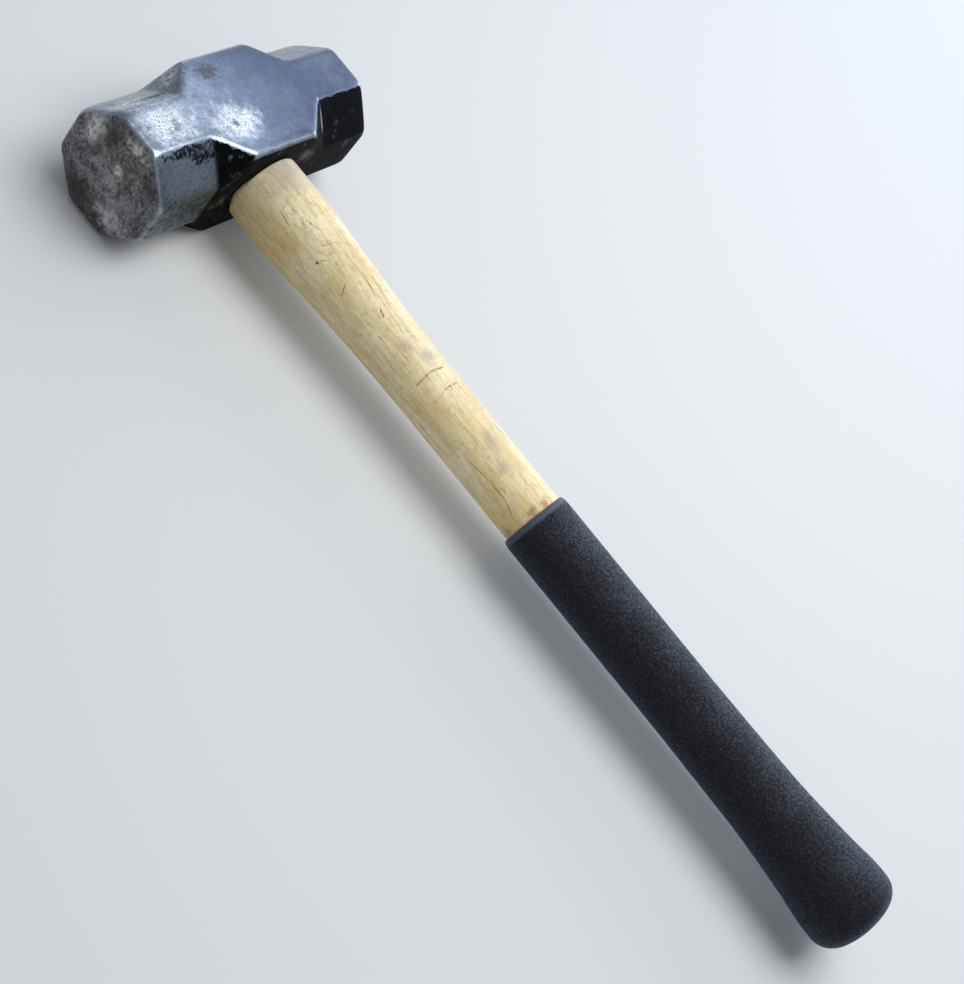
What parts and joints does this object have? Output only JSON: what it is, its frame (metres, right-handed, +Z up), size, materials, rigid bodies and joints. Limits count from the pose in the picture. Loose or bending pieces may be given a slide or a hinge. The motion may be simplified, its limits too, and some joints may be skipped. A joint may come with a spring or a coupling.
{
  "type": "sledgehammer",
  "caption": "Sledgehammer with a double-faced octagonal steel head wedged onto a short wooden handle that has a black rubber grip.",
  "frame": {"origin": "on the surface the hammer lies on, in line with the handle and midway along the hammer's whole length", "axes": "+X along the head from one striking face to the other, +Y along the handle towards the head, +Z up from the cheek that the hammer lies on"},
  "size_m": [0.15, 0.492, 0.057],
  "materials": {
    "forged_steel": "worn forged steel, polished cheeks, mottled dark striking faces",
    "ash_wood": "sanded pale wood with fine grain, scuffs and small cracks",
    "wedge_wood": "sawn end grain",
    "wedge_steel": "dull mild steel",
    "grip_rubber": "matte black with a fine pebbled texture"
  },
  "bodies": {
    "root": {"hammer_head": "forged_steel", "handle": "ash_wood", "wooden_wedge": "wedge_wood", "steel_wedge_left": "wedge_steel", "steel_wedge_right": "wedge_steel", "grip_sleeve": "grip_rubber"}
  },
  "joints": []
}
